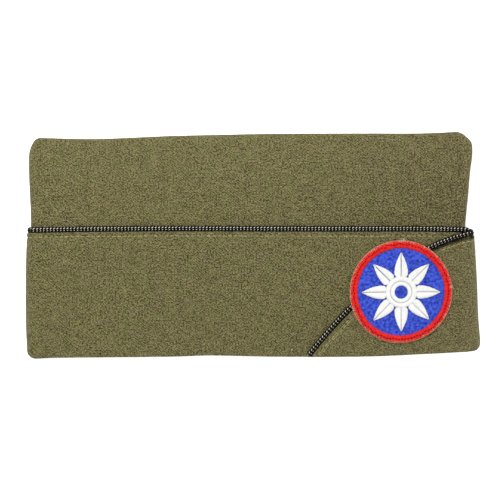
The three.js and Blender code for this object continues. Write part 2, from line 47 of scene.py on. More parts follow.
# How the folded cap lies
#
# Every ply follows one flattened loop round the head. A place on it has three numbers: turn, which
# is 0 at the front crease, 1 to 2 along a side and 3 at the back seam, and above zero on the upper
# side; rise, the way up from the bottom edge; and out, the way out from the crown's inner face.
CAP_LENGTH = 285.0
CROWN_HEIGHT = 140.0
CURTAIN_HEIGHT = 80.6
CROWN_WALL = 1.6
CURTAIN_WALL = 2.0
PLY_GAP = 0.3
LOOP_STEP = 1.5
CREASE_RADIUS = 2.0
SWELL_HEIGHT = 5.0
CROWN_DROP = 1.8
DROP_FROM, DROP_TO = 0.15, 0.88
LIFT_REACH = 14.0
BRAID_WIDTH = 3.5
BRAID_HEIGHT = 2.6
HALF_LENGTH = CAP_LENGTH / 2
CURTAIN_IN = CROWN_WALL + PLY_GAP
CURTAIN_OUT = CURTAIN_IN + CURTAIN_WALL
LAP_STEP = CURTAIN_WALL + PLY_GAP
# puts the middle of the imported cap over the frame's own middle
FRAME_SHIFT = np.array([-0.0384, -0.8078, 0.0])

# rise as a share of the crown's height; back and front as shares of half the cap's length
CROWN_OUTLINE = np.array([
    (0.000, -0.949, 0.952), (0.009, -0.966, 0.966), (0.025, -0.979, 0.975),
    (0.060, -0.982, 0.976), (0.150, -0.986, 0.9685), (0.330, -0.987, 0.959),
    (0.470, -0.985, 0.9485), (0.580, -0.980, 0.939), (0.640, -0.9805, 0.9435),
    (0.730, -0.9845, 0.953), (0.830, -0.9895, 0.962), (0.900, -0.990, 0.972),
    (0.930, -0.9885, 0.972), (0.955, -0.982, 0.968), (0.980, -0.970, 0.944),
    (1.000, -0.956, 0.919),
])
# rise and how much wider the curtain stands at the front, as shares of its height
CURTAIN_EASE = np.array([(0.0, 0.000), (0.4, 0.004), (0.8, 0.013), (1.0, 0.019)])
# place along half the length; waves of hem, braid line and ridge as shares of the crown's height
EDGE_WAVE = np.array([
    (-1.00, -0.0075, -0.005, -0.008), (-0.88, 0.000, -0.003, -0.0125),
    (-0.68, 0.003, 0.000, -0.0155), (-0.35, 0.007, 0.002, -0.002),
    (-0.18, 0.012, 0.002, 0.002), (0.10, 0.007, 0.001, 0.0075),
    (0.50, 0.0078, 0.001, 0.009), (0.75, 0.018, 0.001, 0.0095),
    (1.00, 0.031, -0.004, 0.0215),
])
# rise as a share of the crown's height; swell of the upper side as a share of its most
SWELL_BY_RISE = np.array([(0.0, 1.1), (0.3, 1.0), (0.6, 0.8), (0.85, 0.35), (1.0, 0.12)])
# change along and up for each millimetre, where the wave starts, and its depth in millimetres
RIPPLES = ((0.041, 0.023, 0.6, 0.30), (0.078, -0.052, 2.1, 0.20),
           (0.023, 0.085, 4.0, 0.26), (0.127, 0.094, 1.2, 0.10))


def curve(rows, place, column=1):
    """A smooth curve through one column of a table, read at places in its first column."""
    at, value = rows[:, 0], rows[:, column]
    last = len(at) - 1
    place = np.clip(place, at[0], at[-1])
    i = np.clip(np.searchsorted(at, place) - 1, 0, last - 1)
    before, after = np.maximum(i - 1, 0), np.minimum(i + 2, last)
    span = at[i + 1] - at[i]
    t = (place - at[i]) / span
    leave = (value[i + 1] - value[before]) / (at[i + 1] - at[before]) * span
    arrive = (value[after] - value[i]) / (at[after] - at[i]) * span
    step = value[i + 1] - value[i]
    bend = 3 * step - 2 * leave - arrive
    return value[i] + t * leave + t**2 * bend + t**3 * (leave + arrive - 2 * step)


def ease_in(value, start, end):
    t = np.clip((value - start) / (end - start), 0, 1)
    return t * t * (3 - 2 * t)


def unit(way):
    return way / np.linalg.norm(way, axis=-1, keepdims=True)


def matched(*values):
    return (np.asarray(value, float) for value in np.broadcast_arrays(*values))


def above_braid(rise):
    return (rise - CURTAIN_HEIGHT) / (CROWN_HEIGHT - CURTAIN_HEIGHT)


def edge_wave(x, rise):
    hem, braid, ridge = (curve(EDGE_WAVE, x / HALF_LENGTH, c) * CROWN_HEIGHT for c in (1, 2, 3))
    above, below = np.maximum(above_braid(rise), 0), np.maximum(1 - rise / CURTAIN_HEIGHT, 0)
    return braid + (ridge - braid) * above**2 + (hem - braid) * below**2


def ripple(x, rise):
    """Slack in the upper side: slow, shallow hollows where the cloth was pressed and handled."""
    slack = np.zeros(np.broadcast(x, rise).shape)
    for along, up, start, deep in RIPPLES:
        slack = slack + deep * np.sin(along * x + up * rise + start)
    return slack


def swell(x, rise):
    along = np.clip(x / HALF_LENGTH, -1, 1)
    hollow = SWELL_HEIGHT * curve(SWELL_BY_RISE, rise / CROWN_HEIGHT) + ripple(x, rise)
    return hollow * (1 - along**2)


def fold_height(rise):
    return CREASE_RADIUS + CURTAIN_OUT - CROWN_DROP * ease_in(above_braid(rise), DROP_FROM, DROP_TO)


def braid_lift(rise):
    away = np.abs(rise - CURTAIN_HEIGHT) - BRAID_WIDTH / 2
    return (BRAID_HEIGHT - CURTAIN_WALL) * (1 - ease_in(away, 0, LIFT_REACH))


def front_centre(rise, ease):
    wide = curve(CROWN_OUTLINE, rise / CROWN_HEIGHT, 2) * HALF_LENGTH - CREASE_RADIUS - CROWN_WALL
    return wide + ease * curve(CURTAIN_EASE, rise / CURTAIN_HEIGHT) * CURTAIN_HEIGHT


def back_centre(rise):
    return curve(CROWN_OUTLINE, rise / CROWN_HEIGHT, 1) * HALF_LENGTH + CREASE_RADIUS + CROWN_WALL


def ply(turn, rise, out, ease=0.0):
    """Places on a ply, in millimetres. ease is 1 for the curtain and 0 for the crown."""
    turn, rise, out = matched(turn, rise, out)
    way = np.abs(turn)
    angle = np.sign(turn) * (np.minimum(way, 1) + np.maximum(way - 2, 0)) * np.pi / 2
    radius = CREASE_RADIUS + out
    front, back = front_centre(rise, ease), back_centre(rise)
    x = front + (back - front) * np.clip(way - 1, 0, 1) + radius * np.cos(angle)
    upper = (1 + np.sin(angle)) / 2
    lift = upper * swell(x, rise) + (1 - upper) * braid_lift(rise)
    y = rise - CROWN_HEIGHT / 2 + edge_wave(x, rise)
    return np.stack([x, y, fold_height(rise) + radius * np.sin(angle) + lift], -1)


def grain(turn, rise, out, ease=0.0):
    """How far along its cloth a place is, in millimetres: round the loop, and up over the edge."""
    turn, rise, out = matched(turn, rise, out)
    quarter = (CREASE_RADIUS + out) * np.pi / 2
    front, back = front_centre(rise, ease), back_centre(rise)
    way = np.abs(turn)
    gone = np.minimum(way, 1) * quarter + np.clip(way - 1, 0, 1) * (front - back)
    gone = gone + np.maximum(way - 2, 0) * quarter
    return np.stack([front + quarter - np.sign(turn) * gone, rise - out], -1)


def turn_at(x, rise, out, ease=0.0):
    front = front_centre(rise, ease)
    flat = 1 + (front - x) / (front - back_centre(rise))
    bend = np.arccos(np.clip((x - front) / (CREASE_RADIUS + out), -1, 1)) * 2 / np.pi
    return np.where(x < front, flat, bend)


# Wool serge
#
# The crown and the curtain are one olive serge: yarns of light and dark fibres, woven two over and
# two under, with fine ribs that run down to the right and a short nap. It is browner toward the
# front; painted shade darkens it above the braid there and painted light pales it at the ridge.
# Colours are written as they look in the light of the scene, which STUDIO_LIGHT takes out again.
STUDIO_LIGHT = 3.2
WARP_PITCH = 0.48
WEFT_PITCH = 0.40
FLOAT_REPEAT = 4.0
WANDER_SIZE, YARN_WANDER = 5.0, 0.5
YARN_ROUND = 0.7
YARN_TONES = 0.34
WARP_LIGHTER = 0.22
WOOL_TONE = 0.155
NAP_SIZE, NAP_TONE = 0.93, 2.2
CLOUD_SIZE, CLOUD_TONE = 6.0, 0.4
BROWN_SIZE, BROWN_SPREAD, BROWN_SHARE, BROWN_FRONT = 7.0, 2.4, 0.4, 0.25
WORN_SIZE, WORN_SHARE = 34.0, 0.2
# painted shade: darkens the crown above the braid toward the front, where the cloth slopes away
# from the light
FRONT_PAINTED_SHADE = 0.11
# painted light: lightens the crown toward the top ridge, where the cloth turns up toward the light
RIDGE_PAINTED_LIGHT = 0.04
YARN_RELIEF, NAP_RELIEF, WEAVE_DEPTH = 0.6, 0.9, 0.16
# where a tone fades in, from none to all of it, in millimetres up the cloth and along it
ABOVE_BRAID, BELOW_RIDGE, NEAR_RIDGE = (78.0, 86.0), (145.0, 88.0), (100.0, 136.0)
FRONT_HALF, TOWARD_FRONT = (30.0, 130.0), (20.0, 140.0)


def paint(red, green, blue):
    """A colour as seen, with white at 255, as the reflectance that a material takes."""
    seen = [c / 255 for c in (red, green, blue)]
    light = [c / 12.92 if c <= 0.04045 else ((c + 0.055) / 1.055) ** 2.4 for c in seen]
    return [c / STUDIO_LIGHT for c in light] + [1.0]


class Flow:
    """A value on its way through a material's nodes. The usual signs make Math nodes of it."""

    def __init__(self, tree, socket=None):
        self.tree, self.socket = tree, socket

    def node(self, kind, settings, sockets, outlet=0):
        made = self.tree.nodes.new("ShaderNode" + kind)
        for name, value in settings.items():
            setattr(made, name, value)
        for name, value in sockets.items():
            if isinstance(value, Flow):
                self.tree.links.new(value.socket, made.inputs[name])
            else:
                made.inputs[name].default_value = value
        return Flow(self.tree, made.outputs[outlet] if made.outputs else None)

    def math(self, operation, *values):
        return self.node("Math", {"operation": operation}, dict(enumerate(values)))

    def __add__(self, other):
        return self.math("ADD", self, other)

    def __sub__(self, other):
        return self.math("SUBTRACT", self, other)

    def __mul__(self, other):
        return self.math("MULTIPLY", self, other)

    def __truediv__(self, other):
        return self.math("DIVIDE", self, other)

    def __mod__(self, other):
        return self.math("FLOORED_MODULO", self, other)

    def __gt__(self, other):
        return self.math("GREATER_THAN", self, other)

    def floor(self):
        return self.math("FLOOR", self)

    def within(self, low, high):
        """0 at low, 1 at high and held there beyond them."""
        return self.node("MapRange", {"clamp": True},
                         {"Value": self, "From Min": low, "From Max": high})

    def blend(self, start, end):
        """The colour that lies this far from start to end."""
        return self.node("Mix", {"data_type": "RGBA"}, {0: self, 6: start, 7: end}, outlet=2)

    def choose(self, start, end):
        return self.node("Mix", {"data_type": "FLOAT"}, {0: self, 2: start, 3: end})

    def noise(self, where, size, detail=2.0, roughness=0.5):
        """Cloudy noise about 0, with lumps of a size in the unit of where."""
        cloud = self.node("TexNoise", {"noise_dimensions": "3D"}, {
            "Vector": where, "Scale": 1 / size, "Detail": detail, "Roughness": roughness})
        return cloud - 0.5

    def chance(self, *values):
        """One number from 0 to 1 for each whole place, the same wherever that place comes up."""
        where = self.node("CombineXYZ", {}, dict(enumerate(values)))
        return self.node("TexWhiteNoise", {"noise_dimensions": "3D"}, {"Vector": where})


def new_material(name):
    material = bpy.data.materials.new(name)
    material.use_nodes = True
    material.node_tree.nodes.clear()
    return material, Flow(material.node_tree)


def surface(flow, colour, roughness, height, depth, **steady):
    """Joins colour, roughness and relief to a Principled surface. depth is in millimetres."""
    normal = flow.node("Bump", {}, {"Strength": 1.0, "Distance": depth * MM, "Height": height})
    sockets = {"Base Color": colour, "Roughness": roughness, "Normal": normal}
    sockets |= {name.replace("_", " "): value for name, value in steady.items()}
    made = flow.node("BsdfPrincipled", {}, sockets)
    flow.node("OutputMaterial", {}, {"Surface": made})


WOOL_DARK = paint(48, 42, 2)
WOOL_LIGHT = paint(160, 158, 104)
WOOL_BROWN = paint(166, 153, 112)
WOOL_FADED = paint(114, 108, 70)


def serge():
    material, flow = new_material("wool_serge")
    where = flow.node("UVMap", {"uv_map": "cloth"}, {})
    along, up = (flow.node("SeparateXYZ", {}, {0: where}, outlet=k) for k in (0, 1))
    wander = flow.noise(where, WANDER_SIZE) * YARN_WANDER
    across_warp = (along + wander) / WARP_PITCH
    across_weft = (up + wander) / WEFT_PITCH
    warp, weft = across_warp.floor(), across_weft.floor()
    warp_way = (warp + across_weft) / FLOAT_REPEAT
    weft_way = (weft + across_warp) / FLOAT_REPEAT + 0.5

    def crown(way, across):
        """Height of a yarn that lies on top for half of its way and is round across."""
        over = flow.math("SINE", (way % 1.0) * (2 * math.pi))
        middle = (across % 1.0) * 2 - 1
        return over * (middle * middle * -YARN_ROUND + 1)

    warp_top, weft_top = crown(warp_way, across_warp), crown(weft_way, across_weft)
    on_top = warp_top > weft_top
    yarn_height = flow.math("MAXIMUM", warp_top, weft_top)
    warp_tone = flow.chance(warp, warp_way.floor(), 0.0)
    weft_tone = flow.chance(weft, weft_way.floor(), 7.0)
    tone = on_top.choose(weft_tone * YARN_TONES, warp_tone * YARN_TONES + WARP_LIGHTER)
    nap = flow.noise(where, NAP_SIZE, detail=1.0)
    cloud = flow.noise(where, CLOUD_SIZE)
    # painted shade on the crown above the braid toward the front, where the cloth slopes away from
    # the light
    painted_shade = up.within(*ABOVE_BRAID) * up.within(*BELOW_RIDGE) * along.within(*FRONT_HALF)
    # painted light on the crown toward the top ridge, where the cloth turns up toward the light
    painted_light = up.within(*NEAR_RIDGE)
    share = (tone + nap * NAP_TONE + cloud * CLOUD_TONE + WOOL_TONE
             - painted_shade * FRONT_PAINTED_SHADE + painted_light * RIDGE_PAINTED_LIGHT)
    brown = flow.noise(where, BROWN_SIZE, detail=3.0) * BROWN_SPREAD
    brown = brown + along.within(*TOWARD_FRONT) * BROWN_FRONT + BROWN_SHARE
    colour = share.blend(WOOL_DARK, brown.blend(WOOL_LIGHT, WOOL_BROWN))
    worn = flow.noise(where, WORN_SIZE).within(0.0, 0.3) * WORN_SHARE
    colour = worn.blend(colour, WOOL_FADED)
    relief = yarn_height * YARN_RELIEF + nap * NAP_RELIEF
    surface(flow, colour, 0.95, relief, WEAVE_DEPTH, Sheen_Weight=0.05, Sheen_Roughness=0.5,
            Specular_IOR_Level=0.06)
    return material


WOOL = serge()


def put(name, data):
    made = bpy.data.objects.new(name, data)
    bpy.context.scene.collection.objects.link(made)
    return made


def make_piece(name, points, faces, materials, slot, replaces=(), picks=None, maps=None,
               tones=None):
    """A mesh piece of the cap. maps holds each point's place on its cloth, tones its own shade."""
    mesh = bpy.data.meshes.new(name)
    mesh.from_pydata(((points + FRAME_SHIFT) * MM).tolist(), [], [list(face) for face in faces])
    mesh.shade_smooth()
    for material in materials:
        mesh.materials.append(material)
    if picks is not None:
        mesh.polygons.foreach_set("material_index", np.asarray(picks, np.int32))
    if maps is not None:
        corner = np.empty(len(mesh.loops), np.int32)
        mesh.loops.foreach_get("vertex_index", corner)
        places = mesh.uv_layers.new(name="cloth").data
        places.foreach_set("uv", maps[corner].astype(np.float32).ravel())
    if tones is not None:
        shades = mesh.attributes.new("tone", "FLOAT", "POINT").data
        shades.foreach_set("value", tones.astype(np.float32))
    piece = put(name, mesh)
    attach(piece, "root")
    if replaces:
        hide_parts(*replaces)
    return piece


def numbered(rings):
    """The number of each point on rings of points, and of the point after it on its ring."""
    number = np.arange(rings.size // 3).reshape(rings.shape[:-1])
    return number, np.roll(number, -1, axis=-1)


def skin(rings):
    """Faces of a skin over rings of points, closed by rungs across its two flat end rings."""
    number, following = numbered(rings)
    size = number.shape[1]
    bands = np.stack([number[:-1], following[:-1], following[1:], number[1:]], -1).reshape(-1, 4)
    rungs = np.array([(a, a + 1, size - 2 - a, size - 1 - a) for a in range(size // 2 - 1)])
    return np.concatenate([bands, number[0][rungs[:, ::-1]], number[-1][rungs]])


def facing_out(points, faces):
    a, b, c, d = (points[faces[:, k]] for k in range(4))
    volume = (a * (np.cross(b, c) + np.cross(c, d))).sum()
    return faces if volume > 0 else faces[:, ::-1]


def loop_turns(start, end):
    """Turns from start to end, closer together round the two creases."""
    bend = np.linspace(0, 1, 11)
    flat = np.linspace(1, 2, int(CAP_LENGTH / LOOP_STEP))
    every = np.unique(np.concatenate([bend, flat, 2 + bend]))
    inside = every[(every > start + 0.004) & (every < end - 0.004)]
    return np.concatenate([[start], inside, [end]])


def cloth_piece(name, turn, rise, out, ease, climb=0.0, dip=1.0, **facts):
    """A ply whose rings have one turn each, or one for each place on the ring."""
    turn, rise, out = np.broadcast_arrays(turn, rise, out)
    points = ply(turn, rise * dip, out + climb, ease)
    maps = grain(turn, rise, out + climb, ease).reshape(-1, 2)
    faces = facing_out(points.reshape(-1, 3), skin(points))
    return make_piece(name, points.reshape(-1, 3), faces, [WOOL], "wool_serge", maps=maps, **facts)


# Crown
#
# Two side panels of serge, sewn together down the front and the back, so that each closes its half
# of the loop. Their top edges roll in over the gusset, and their bottom edges are the head opening.
SEAM_GAP = 0.05
SEAM_SINK = 0.3
RIDGE_RADIUS = 2.2
RIDGE_LIP = 1.4
RIDGE_FILLET = 0.7
EDGE_ROUND = 0.5
RIDGE_FOOT = CROWN_HEIGHT - RIDGE_RADIUS - 0.6
# rows of points up the cloth: wide apart behind the curtain and close together above it
CROWN_ROWS = np.concatenate([np.linspace(1.2, 72, 26), np.linspace(73.5, RIDGE_FOOT, 46)])


def seam_turn(out):
    return np.arcsin(SEAM_GAP / 2 / (CREASE_RADIUS + out)) * 2 / np.pi


def crown_section():
    roll = np.linspace(0, np.pi / 2, 8)
    over = np.stack([CROWN_HEIGHT - RIDGE_RADIUS * (1 - np.sin(roll)),
                     CROWN_WALL - RIDGE_RADIUS * (1 - np.cos(roll))], -1)
    under = np.stack([CROWN_HEIGHT - CROWN_WALL - RIDGE_FILLET * np.sin(roll) ** 2,
                      -RIDGE_FILLET * np.cos(roll)], -1)
    outer = [(EDGE_ROUND, CROWN_WALL * 0.7), *((rise, CROWN_WALL) for rise in CROWN_ROWS)]
    inner = [*((rise, 0.0) for rise in CROWN_ROWS[::-1]), (EDGE_ROUND, CROWN_WALL * 0.3)]
    lip = [(CROWN_HEIGHT, -RIDGE_LIP), (CROWN_HEIGHT - CROWN_WALL, -RIDGE_LIP)]
    return np.array([*outer, *over, *lip, *under, *inner])


def crown_panel(side, name, node):
    rise, level = crown_section().T
    turns = loop_turns(0.0, 3.0)
    turn = np.repeat(turns[:, None], len(rise), axis=1)
    turn[0], turn[-1] = seam_turn(level), 3 - seam_turn(level)
    out = np.tile(level, (len(turns), 1))
    out[[0, -1]] -= SEAM_SINK * (level > CROWN_WALL / 2)
    panel = cloth_piece(name, side * turn, rise, out, 0.0, replaces=[node])


crown_panel(1, "right_side_cloth", "crown_right_side")
crown_panel(-1, "left_side_cloth", "crown_left_side")


# Gusset
#
# A boat-shaped strip of the same serge that joins the two top edges and folds down between them
# when the cap is flat: deepest in the middle, and shallow where it ends at the two peaks.
GUSSET_WALL = 1.1
GUSSET_DEPTH = 25.0
GUSSET_END_DEPTH = 3.4
GUSSET_INSET = 7.0
GUSSET_TURN = 0.28
GUSSET_FOOT = 1.2
GUSSET_RINGS = 140


def gusset():
    top = CROWN_HEIGHT - CROWN_WALL - RIDGE_FILLET - PLY_GAP
    back, front = (curve(CROWN_OUTLINE, 1.0, c) * HALF_LENGTH for c in (1, 2))
    x = np.linspace(back + GUSSET_INSET, front - GUSSET_INSET, GUSSET_RINGS)
    along = np.linspace(-1, 1, GUSSET_RINGS)
    depth = GUSSET_END_DEPTH + (GUSSET_DEPTH - GUSSET_END_DEPTH) * np.sqrt(1 - along**2)
    fold = top - depth
    foot = fold + GUSSET_FOOT * GUSSET_WALL
    outer, inner = -PLY_GAP, -PLY_GAP - GUSSET_WALL

    def point(side, rise, out):
        place = ply(side * turn_at(x, rise, out), rise, out)
        place[:, 0] = x
        return place

    def wall(side, out):
        return [point(side, top + (foot - top) * share, out) for share in np.linspace(0, 1, 8)]

    def bottom(out, rise):
        low, high = point(-1, rise, out), point(1, rise, out)
        return [high + (low - high) * share for share in (GUSSET_TURN, 0.5, 1 - GUSSET_TURN)]

    section = [*wall(1, outer), *bottom(outer, fold), *wall(-1, outer)[::-1],
               *wall(-1, inner), *bottom(inner, foot)[::-1], *wall(1, inner)[::-1]]
    rings = np.stack(section, 1)
    points = rings.reshape(-1, 3)
    maps = points[:, [0, 1]] + CROWN_HEIGHT
    faces = facing_out(points, skin(rings))
    strip = make_piece("gusset_cloth", points, faces, [WOOL], "wool_serge",
                       maps=maps, replaces=["crown_top_gusset"])


gusset()


# Curtain
#
# A doubled band of the same serge, turned up outside the crown. The right end tucks in under the
# left one, which comes round the front crease and ends on the right side in a bowed, slanting lap.
# A line of stitches a little below the edge holds the braid in, and the cloth dips along it.
TUCK_TURN = 0.34
LAP_LENGTH = 108.0
LAP_TIP_INSET = 4.1
LAP_TIP_DROP = 1.9
LAP_BOW = (0.5, 0.85)
CLIMB_TURNS = (-0.7, 0.45)
DIP_TURNS = (-1.2, 0.4)
LEAST_LAP_TURN = 0.12
LAP_END_ROUND, LAP_END_THIN = 0.7, 0.5
UNDER_BRAID = 0.5
CLOTH_TOP = CURTAIN_HEIGHT - BRAID_WIDTH / 2 + UNDER_BRAID
CURTAIN_ROWS = np.concatenate([np.linspace(1.3, 71, 44), np.arange(71.8, CLOTH_TOP - 0.6, 0.4)])
STITCH_BELOW = 4.3
STITCH_DIP = 0.3
DIP_WIDTH = 0.8
EDGE_PUFF = 0.22
PUFF_BELOW, PUFF_WIDTH = 2.6, 1.0
LAP_FOOT = np.array([HALF_LENGTH - LAP_LENGTH, 0.0])
LAP_TIP = np.array([HALF_LENGTH - LAP_TIP_INSET, CURTAIN_HEIGHT - LAP_TIP_DROP])
LAP_BEND = LAP_FOOT + (LAP_TIP - LAP_FOOT) * LAP_BOW


def lap_edge(share):
    """x and rise on the middle of the lap's braid, from its foot to its tip."""
    t = np.asarray(share, float)[..., None]
    return (1 - t) ** 2 * LAP_FOOT + 2 * t * (1 - t) * LAP_BEND + t**2 * LAP_TIP


def beside_lap(share, away):
    """x and rise beside that line, on the side of the front crease and the bottom edge."""
    t = np.asarray(share, float)[..., None]
    along = unit((1 - t) * (LAP_BEND - LAP_FOOT) + t * (LAP_TIP - LAP_BEND))
    return lap_edge(share) + away * np.stack([along[..., 1], -along[..., 0]], -1)


def lap_line_at(rise, away):
    line = beside_lap(np.linspace(0, 1, 121), away)
    i = np.clip(np.searchsorted(line[:, 1], rise) - 1, 0, len(line) - 2)
    a, b = line[i], line[i + 1]
    return a[..., 0] + (b[..., 0] - a[..., 0]) * (rise - a[..., 1]) / (b[..., 1] - a[..., 1])


def lap_distance(x, rise):
    """How far a place is from the middle of the lap's braid, above zero on the back's side."""
    line = lap_edge(np.linspace(0, 1, 121))
    x, rise = np.broadcast_arrays(x, rise)
    near = np.hypot(x[..., None] - line[:, 0], rise[..., None] - line[:, 1]).min(-1)
    return np.where(x < lap_line_at(rise, 0.0), near, -near)


def lap_climb(turn):
    return LAP_STEP * ease_in(turn, *CLIMB_TURNS)


def lap_dip(turn):
    return 1 - LAP_TIP_DROP / CURTAIN_HEIGHT * ease_in(turn, *DIP_TURNS)


def sewn(below):
    """How the outer face stands a given way below the middle of the braid: it bulges over the
    turned seam, dips along the stitches and is flat beyond them."""
    dip = STITCH_DIP * np.exp(-((below - STITCH_BELOW) / DIP_WIDTH) ** 2)
    puff = EDGE_PUFF * np.exp(-((below - PUFF_BELOW) / PUFF_WIDTH) ** 2)
    return puff - dip


def curtain_section():
    lower = [(0.0, 0.7), (0.35, 0.93), (0.75, 1.0)]
    upper = [(CLOTH_TOP - 0.2, 0.9), (CLOTH_TOP, 0.7)]
    outer = [*lower, *((rise, 1.0) for rise in CURTAIN_ROWS), *upper]
    rise, share = np.array(outer).T
    share = np.concatenate([share, 1 - share[::-1]])
    return np.concatenate([rise, rise[::-1]]), CURTAIN_IN + CURTAIN_WALL * share, share > 0.5


def curtain_right():
    rise, out, face = curtain_section()
    turns = loop_turns(TUCK_TURN, 3.0)
    turn = np.repeat(turns[:, None], len(rise), axis=1)
    turn[-1] = 3 - seam_turn(out)
    out = out + face * sewn(CURTAIN_HEIGHT - rise) * ease_in(turn, 1.0, 1.04)
    band = cloth_piece("right_curtain_cloth", turn, rise, out, 1.0, replaces=["curtain_right"])


def curtain_left():
    rise, out, face = curtain_section()
    lap_x = lap_line_at(rise, BRAID_WIDTH / 2 - UNDER_BRAID)
    lap_turn = np.maximum(turn_at(lap_x, rise, CURTAIN_OUT + LAP_STEP / 2, 1.0), LEAST_LAP_TURN)
    shares = np.concatenate([np.linspace(0.02, 0.72, 16), np.linspace(0.73, 0.93, 44),
                             np.linspace(0.935, 1.0, 22)])
    around = np.repeat(loop_turns(0.0, 3.0)[::-1, None], len(rise), axis=1)
    turn = np.concatenate([-around, shares[:, None] * lap_turn])
    turn[0] = seam_turn(out) - 3
    dip = lap_dip(turn)
    below = CURTAIN_HEIGHT - rise
    x = ply(turn, rise * dip, CURTAIN_OUT, 1.0)[..., 0]
    beside = np.where(turn > 0.5, -lap_distance(x, rise * dip), 99.0)
    raised = np.where(turn > 0, sewn(beside), 0) + sewn(below) * (1 - ease_in(turn, -0.2, 0.3))
    lap_end = 1 - (beside - BRAID_WIDTH / 2 + UNDER_BRAID) / LAP_END_ROUND
    end_round = np.where(turn > 0, np.clip(lap_end, 0, 1), 0) ** 2
    out = out + face * (raised - LAP_END_THIN * end_round)
    band = cloth_piece("left_curtain_cloth", turn, rise, out, 1.0, climb=lap_climb(turn), dip=dip,
                       replaces=["curtain_left"])


curtain_right()
curtain_left()


# Stitching
#
# One row of olive thread, a shade lighter than the wool, runs below the braid all the way round.
# On the lap it turns down beside the slanting edge, where a second row joins it below the badge.
# Each stitch lies on top for most of its pitch and dives into the cloth at both ends. One speck of
# pale lint clings to the curtain above the hem.
THREAD_RADIUS = 0.25
STITCH_PITCH = 3.3
STITCH_LENGTH = 2.55
STITCH_RISE = 0.2
STITCH_SUNK = 0.1
PITCH_UNEVEN = 0.09
LENGTH_UNEVEN = (0.86, 1.06)
STITCH_SWAY = 0.05
LAP_STITCH_DIP = 0.05
SECOND_ROW_AWAY = 1.15
SECOND_ROW_END = 0.42
NEAR_SEAM = 2.97
LINE_POINTS = 500
# where a row of stitches starts and ends along its line
RIGHT_ROW, LEFT_ROW, LAP_ROW, SECOND_ROW = (1.0, 272.0), (1.0, 280.0), (3.0, 134.0), (1.3, 60.0)
THREAD_SIDES = 6
SPUN_DEPTH = 0.05
LINT_X, LINT_RISE = 24.5, 4.5
LINT_RADIUS = 0.24
LINT_SPAN = 0.0018


def threads(paths, up, wide, thick, sides=THREAD_SIDES):
    """Many threads at once, as points and faces. paths is threads by stations by 3, up is the way
    each thread's flat side faces, and wide and thick are half its size there."""
    count = paths.shape[:2]
    up = np.broadcast_to(up, (*count, 3))
    wide, thick = (np.broadcast_to(size, count)[..., None, None] for size in (wide, thick))
    along = np.gradient(paths, axis=1)
    side = unit(np.cross(along, up))
    lift = unit(np.cross(side, along))
    angle = (np.arange(sides) + 0.5) / sides * 2 * np.pi
    cos, sin = np.cos(angle)[:, None], np.sin(angle)[:, None]
    ring = side[:, :, None] * cos * wide + lift[:, :, None] * sin * thick
    rings = paths[:, :, None] + ring
    number, following = numbered(rings)
    bands = np.stack([number[:, :-1], number[:, 1:], following[:, 1:], following[:, :-1]], -1)
    faces = bands.reshape(-1, 4).tolist() + number[:, 0].tolist() + number[:, -1, ::-1].tolist()
    return rings.reshape(-1, 3), faces


def along_line(line, places):
    """Points and up directions at distances along a line given by its points and ups."""
    points, ups = line
    gone = np.concatenate([[0], np.cumsum(np.linalg.norm(np.diff(points, axis=0), axis=1))])
    at = [np.stack([np.interp(places, gone, values[:, k]) for k in range(3)], -1)
          for values in (points, ups)]
    return at, gone[-1]


def cloth_line(turn, rise, out):
    """A line that lies on a curtain's face, with the way up from the cloth at each point."""
    points = ply(turn, rise, out, 1.0)
    return points, unit(ply(turn, rise, out + 0.5, 1.0) - points)


def stitched(line, start, end, random):
    """Paths of the stitches along a line, from start to end along it, and their ups."""
    _, length = along_line(line, np.zeros(1))
    first = np.arange(start, min(end, length - 0.5) - STITCH_LENGTH, STITCH_PITCH)
    first = first + random.normal(0, PITCH_UNEVEN, len(first))
    long = STITCH_LENGTH * random.uniform(*LENGTH_UNEVEN, len(first))
    share = np.linspace(0, 1, 8)
    (paths, ups), _ = along_line(line, first[:, None] + share * long[:, None])
    arch = STITCH_RISE * np.sin(np.pi * share) ** 0.6 - STITCH_SUNK
    sway = random.normal(0, STITCH_SWAY, (len(first), 1, 1))
    sway = sway * np.cross(np.gradient(paths, axis=1), ups)
    return paths + ups * arch[:, None] + sway, ups


def stitches(name, lines, seed):
    random = np.random.default_rng(seed)
    made = [stitched(line, *ends, random) for line, ends in lines]
    paths, ups = (np.concatenate([row[k] for row in made]) for k in (0, 1))
    share = np.linspace(0, 1, paths.shape[1])
    size = THREAD_RADIUS * (0.55 + 0.45 * np.sin(np.pi * share) ** 0.5)
    points, faces = threads(paths, ups, size * 1.15, size)
    tones = np.repeat(random.beta(2.0, 2.6, len(paths)), len(share) * THREAD_SIDES)
    make_piece(name, points, faces, [SEWING_THREAD], "wool_serge", tones=tones)


def spun(name, dark, light, rough, sheen=0.0, twist=0.35, gloss=0.2):
    """Spun thread: its tone comes from each thread's own number and from the turns of its plies."""
    material, flow = new_material(name)
    own = flow.node("Attribute", {"attribute_name": "tone"}, {}, outlet=2)
    where = flow.node("TexCoord", {}, {}, outlet=3)
    fibre = flow.noise(where, twist * MM, detail=3.0, roughness=0.65)
    colour = (own * 0.8 + fibre * 0.7 + 0.1).blend(dark, light)
    surface(flow, colour, rough, fibre, SPUN_DEPTH, Sheen_Weight=sheen, Sheen_Roughness=0.4,
            Specular_IOR_Level=gloss)
    return material


SEWING_THREAD = spun("olive_sewing_thread", paint(136, 128, 74), paint(216, 208, 146), 0.6, 0.1)

below_edge = CURTAIN_HEIGHT - STITCH_BELOW
right_turns = np.linspace(1.008, NEAR_SEAM, LINE_POINTS)
right_line = cloth_line(right_turns, below_edge, CURTAIN_OUT - STITCH_DIP)
left_turns = np.linspace(-NEAR_SEAM, 0.0, LINE_POINTS)
left_line = cloth_line(left_turns, below_edge * lap_dip(left_turns),
                       CURTAIN_OUT - STITCH_DIP + lap_climb(left_turns))


